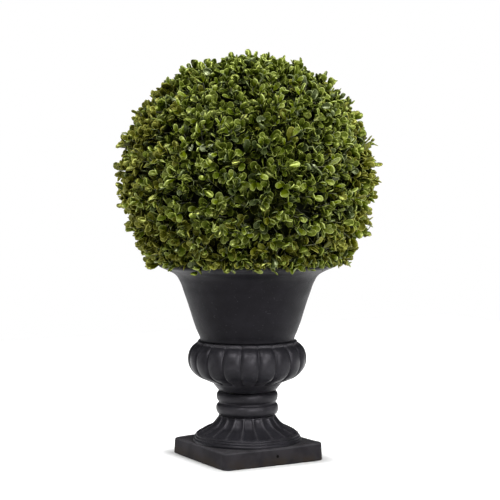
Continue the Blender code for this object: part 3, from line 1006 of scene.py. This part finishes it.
def twigMesh(look, sprays, kept):
    # Tapering four-sided tubes along the sprays' paths, closed at both ends.
    rows, sides = look["rows"], look["sides"]
    share = np.broadcast_to(np.linspace(-look["sunk"], 1.0, rows), (len(sprays["length"]), rows))
    point, axis = (values[kept] for values in alongSpray(sprays, share))
    side, other = acrossFrom(axis)
    thick = np.linspace(look["root"], look["tip"], rows)[None, :, None, None]
    angle = stepAngles(sides)[None, None, :, None]
    around = np.cos(angle) * side[:, :, None, :] + np.sin(angle) * other[:, :, None, :]
    ring = point[:, :, None, :] + thick * around
    corner = np.arange(sides)
    faces = np.vstack([ringFaces(rows, sides), corner[::-1], corner + (rows - 1) * sides])
    return meshFrom("boxwoodTwigs", ring.reshape(-1, 3), copiedFaces(faces, len(ring), rows * sides))


def coreMesh(look, radius, centre):
    # The matted inside of the ball, a lumpy sphere that the twigs stand out of, with its underside in the
    # urn's mouth.
    up = np.linspace(-math.pi / 2, math.pi / 2, look["rows"] + 2)[1:-1]
    outline = np.stack([radius * np.cos(up), radius * np.sin(up)], -1)
    radius, height, angle = spun(outline, look["steps"])
    points = ringPoints(radius, height, angle)
    swell = 1 + sum(lumps(points, size, seed) * amount for size, seed, amount in look["lumps"])
    return turnedMesh("boxwoodCore", radius * swell, height * swell + centre, angle)


# Leaf colours: base colour of the blade and of its pale edge, a painted highlight, the tip's lying between
# them as painted light, how much blue there is in the leaf's gloss, and the odds for each pair from the
# foot of the spray to its tip.
greens = dict(
    newLime=((0.069, 0.092, 0.001), (0.248, 0.290, 0.080), 0.36, (0.00, 0.03, 0.15, 0.36)),
    freshGreen=((0.0310, 0.0460, 0.001), (0.142, 0.173, 0.030), 0.28, (0.03, 0.10, 0.28, 0.34)),
    greyGreen=((0.0160, 0.0245, 0.004), (0.100, 0.124, 0.042), 0.58, (0.09, 0.13, 0.15, 0.13)),
    midGreen=((0.0125, 0.0196, 0.0006), (0.068, 0.087, 0.008), 0.28, (0.10, 0.20, 0.22, 0.13)),
    deepGreen=((0.0048, 0.0078, 0.0003), (0.031, 0.042, 0.003), 0.24, (0.28, 0.32, 0.17, 0.07)),
    shadeGreen=((0.0020, 0.0034, 0.0001), (0.0095, 0.0138, 0.001), 0.20, (0.50, 0.24, 0.06, 0.02)),
    oliveLeaf=((0.047, 0.051, 0.001), (0.180, 0.180, 0.032), 0.28, (0.00, 0.00, 0.01, 0.01)),
    bronzeLeaf=((0.0130, 0.0138, 0.0004), (0.073, 0.073, 0.008), 0.24, (0.01, 0.01, 0.00, 0.00)),
)
dealing = dict(
    ageSpread=0.22,  # how far a spray's age shifts its leaves up or down the odds
    leafSpread=0.75,  # and how far the leaves of a spray differ, 1 being as much as they can
    lowFrom=0.15,  # sprays are low from this height down, 1 being the top of the ball
    lowOver=0.8,
    lowPaintedLight=0.36,  # how much paler the tips of the lowest sprays are made: painted light from below
    # Olive and bronze sprays are partly yellowed leaves, partly painted backlight glowing through the rim
    # leaves.
    oliveLow=1.10,  # shares of the sprays dealt olive or bronze: low down, on the warm side and opposite it
    oliveWarm=1.50,
    oliveFar=0.80,
    oliveLeafShare=0.85,
    lowFade=6,  # powers by which the olive sprays fade out upwards and round from the two sides
    sideFade=4,
    warmSide=(-0.87, 0.49),  # where more leaves are olive, on the left as the camera sees it
)


def dealColours(look, leaves, sprays, rng):
    # Each spray has its own age, which shifts all its leaves towards the young or the old greens.
    # Low sprays are paler, painted light from below, and some sprays are olive or bronze, mostly low down
    # and
    # on two sides: partly yellowed leaves, partly painted backlight through the leaves at the ball's edge.
    names = list(greens)
    # The odds run darker towards a spray's foot: older leaves there, and painted shade deep in the ball.
    odds = np.array([green[-1] for green in greens.values()])
    ladder = np.cumsum(odds, axis=0) / odds.sum(axis=0)
    low = np.clip((look["lowFrom"] - sprays["out"][:, 2:]) / look["lowOver"], 0, 1)
    pair = leaves["pair"]
    ageAndLowLight = rng.uniform(-look["ageSpread"], look["ageSpread"], (len(pair), 1))
    # Low sprays shift towards the paler greens: painted light from below.
    ageAndLowLight = ageAndLowLight - look["lowPaintedLight"] * low * pair / pair.max()
    draw = rng.random(pair.shape) * look["leafSpread"] + (1 - look["leafSpread"]) / 2 + ageAndLowLight
    dealt = (np.clip(draw, 0, 0.999)[None] > ladder[:, pair]).sum(axis=0)
    # Olive and bronze leaves: partly yellowed, partly painted backlight at the ball's edge.
    side = sprays["out"][:, :2] @ np.array(look["warmSide"])
    share = np.where(side > 0, look["oliveWarm"], look["oliveFar"]) * side ** look["sideFade"]
    share = share[:, None] + look["oliveLow"] * low ** look["lowFade"]
    oliveDealt = (rng.random(share.shape) < share) & (rng.random(draw.shape) < look["oliveLeafShare"])
    young = dealt <= names.index("greyGreen")
    return np.where(oliveDealt, np.where(young, names.index("oliveLeaf"), names.index("bronzeLeaf")), dealt)


rng = np.random.default_rng(ball["seed"])
grown = (growSprays(ball, rng), growSkirt(skirt, rng))
sprays = {key: np.concatenate([part[key] for part in grown]) for key in grown[0]}
leaves = placeLeaves(pairing, sprays, rng)
leafKept = keepClear(ball, leaves)
colourOf = dealColours(dealing, leaves, sprays, rng)
tips = alongSpray(sprays, np.ones((len(sprays["length"]), 1)))[0][:, 0]
twigKept = clearOfUrn(tips, ball) & leafKept.any(axis=1)
for number, (name, (blade, edge, blueness, odds)) in enumerate(greens.items()):
    chosen = np.argwhere(leafKept & (colourOf == number))
    # The tip's colour lies part way from the blade's to the edge's: painted light on the leaf's outer part.
    tip = [low + (high - low) * leaf["litTipShare"] for low, high in zip(blade, edge)]
    tint = (*leaf["glossTint"], blueness, 1)
    # The edge's colour is a painted highlight.
    zones = dict(Blade=blade, EdgeHighlight=edge, LitTip=tip)
    finishes = [plainFinish(name + zone, leaf, zones[zone], Specular_Tint=tint) for zone in zones]
    shares = np.array_split(chosen, math.ceil(len(chosen) / ball["leavesPerPiece"]))
    for part, rows in enumerate(shares):
        mesh = leafMesh(name + "Leaves" + "ABCD"[part], leaves, tuple(rows.T))
        addPiece(mesh, finishes, "boxwood_ball")
    print(name, len(chosen), "leaves in", len(shares), "pieces")
for mesh, finish in (
    (twigMesh(twig, sprays, twigKept), plainFinish("twigOlive", twig, twig["colour"])),
    (coreMesh(core, ball["rootRadius"], ball["centre"]), plainFinish("coreShade", core, core["colour"])),
):
    addPiece(mesh, [finish], "boxwood_ball")
print("ball done")


# Floor, light and camera.
studio = dict(
    floor=(0.44, 0.44, 0.44),
    floorRough=0.9,
    floorReach=1.6,
    paintedShadeGlow=0.02,  # strength of the floor's glow at the plinth, kept low there for a painted contact shadow, and away from it
    glowFar=0.85,
    glowCore=0.0740,  # half the side of the square that the glow's distance is measured from
    glowFrom=0.0100,  # and the distances over which it grows, which set the width of the painted contact shadow
    glowTo=0.0600,
    worldLight=1.0,
    skyLight=1.0,
    skySpread=75,  # degrees across the overhead light
    aimHeight=0.30,
    lights=dict(  # azimuth and elevation in degrees, distance, power, width, height
        leftLight=((-136, 14, 2.2), 43, 1.2, 1.2),
        rightLight=((84, 30, 2.2), 22, 1.2, 1.2),
        backLight=((150, 30, 2.4), 12, 1.3, 1.3),
        topLight=((-60, 56, 2.2), 47, 1.2, 1.2),
        gleamLight=((-44, 42, 2.2), 44, 0.7, 0.7),
        lowGleamLight=((-10, 8, 2.2), 44, 0.5, 0.4),
        sparkLight=((11, 34, 2.0), 52, 0.28, 0.9),
    ),
    glinting=("topLight", "gleamLight", "lowGleamLight", "sparkLight"),  # the only lamps that gloss reflects
    glossOnly=("gleamLight", "lowGleamLight"),
)
lens = dict(azimuth=-29.6, distance=2.2, height=0.43, pitch=3.06, aside=0.11, focal=105.65, sensor=36)


def aroundAxis(azimuth, elevation, distance, height):
    # The place at this distance from the point on the axis that is at this height. Azimuth 0 is in front,
    # at -Y, and grows to the right.
    turn, tilt = math.radians(azimuth), math.radians(elevation)
    level = distance * math.cos(tilt)
    return (level * math.sin(turn), -level * math.cos(turn), height + distance * math.sin(tilt))


def addFloor(look):
    # A wide square round the origin that glows white further out, a painted light, and is dimmed near the
    # plinth.
    corners = np.array([[-1, -1, 0], [1, -1, 0], [1, 1, 0], [-1, 1, 0]], float) * look["floorReach"]
    floor = bpy.data.objects.new("studioFloor", meshFrom("studioFloor", corners, np.array([[0, 1, 2, 3]])))
    bpy.context.scene.collection.objects.link(floor)
    pale = dict(Base_Color=(*look["floor"], 1), Roughness=look["floorRough"], Specular_IOR_Level=0.0)
    finish, tree, shader = newFinish("glowingFloor", Emission_Color=(1, 1, 1, 1), **pale)
    where = ownPoint(tree)
    spread = addNode(tree, "ShaderNodeVectorMath", {"operation": "ABSOLUTE"}, i0=where).outputs["Vector"]
    half = look["glowCore"]
    for operation, other in (("SUBTRACT", (half, half, 0)), ("MAXIMUM", (0, 0, 0))):
        step = addNode(tree, "ShaderNodeVectorMath", {"operation": operation}, i0=spread, i1=other)
        spread = step.outputs["Vector"]
    away = addNode(tree, "ShaderNodeVectorMath", {"operation": "LENGTH"}, i0=spread).outputs["Value"]
    # The dimmed glow near the plinth is painted shade: it darkens the floor round the plinth's foot.
    glow = ramped(tree, away, look["glowFrom"], look["glowTo"], look["paintedShadeGlow"], look["glowFar"])
    tree.links.new(glow, shader.inputs["Emission Strength"])
    floor.data.materials.append(finish)


def addSoftLight(name, place, power, width, height, look):
    # A rectangular lamp that faces the axis at the aim height.
    light = bpy.data.lights.new(name, "AREA")
    light.shape = "RECTANGLE"
    light.energy, light.size, light.size_y = power, width, height
    lamp = bpy.data.objects.new(name, light)
    lamp.location = aroundAxis(*place, look["aimHeight"])
    aim = np.array([0, 0, look["aimHeight"]]) - np.array(lamp.location)
    pitch = math.acos(-aim[2] / np.linalg.norm(aim))
    lamp.rotation_euler = (pitch, 0, math.atan2(aim[1], aim[0]) - math.pi / 2)
    lamp.visible_glossy = name in look["glinting"]
    lamp.visible_diffuse = name not in look["glossOnly"]
    bpy.context.scene.collection.objects.link(lamp)


def addCamera(look):
    # A camera at the azimuth and height, turned to the axis but for a little aside, and tilted down.
    camera = bpy.data.objects.new("photoView", bpy.data.cameras.new("photoView"))
    camera.location = aroundAxis(look["azimuth"], 0, look["distance"], look["height"])
    turn = math.radians(look["azimuth"] - look["aside"])
    camera.rotation_euler = (math.radians(90 - look["pitch"]), 0, turn)
    camera.data.lens, camera.data.sensor_width = look["focal"], look["sensor"]
    bpy.context.scene.collection.objects.link(camera)
    bpy.context.scene.camera = camera


def lightTheRoom(look):
    # The white world is only a backdrop: the overhead light, the lamps and the floor light the part.
    world = bpy.data.worlds.new("whiteRoom")
    world.use_nodes = True
    backdrop = world.node_tree.nodes["Background"]
    backdrop.inputs["Color"].default_value = (1, 1, 1, 1)
    backdrop.inputs["Strength"].default_value = look["worldLight"]
    world.cycles_visibility.glossy = False
    world.cycles_visibility.diffuse = False
    bpy.context.scene.world = world
    bpy.context.scene.view_settings.view_transform = "Standard"
    for name, (place, power, width, height) in look["lights"].items():
        addSoftLight(name, place, power, width, height, look)
    sky = bpy.data.lights.new("skyLight", "SUN")
    sky.energy, sky.angle = look["skyLight"], math.radians(look["skySpread"])
    bpy.context.scene.collection.objects.link(bpy.data.objects.new("skyLight", sky))


addFloor(studio)
lightTheRoom(studio)
addCamera(lens)
print("room lit")
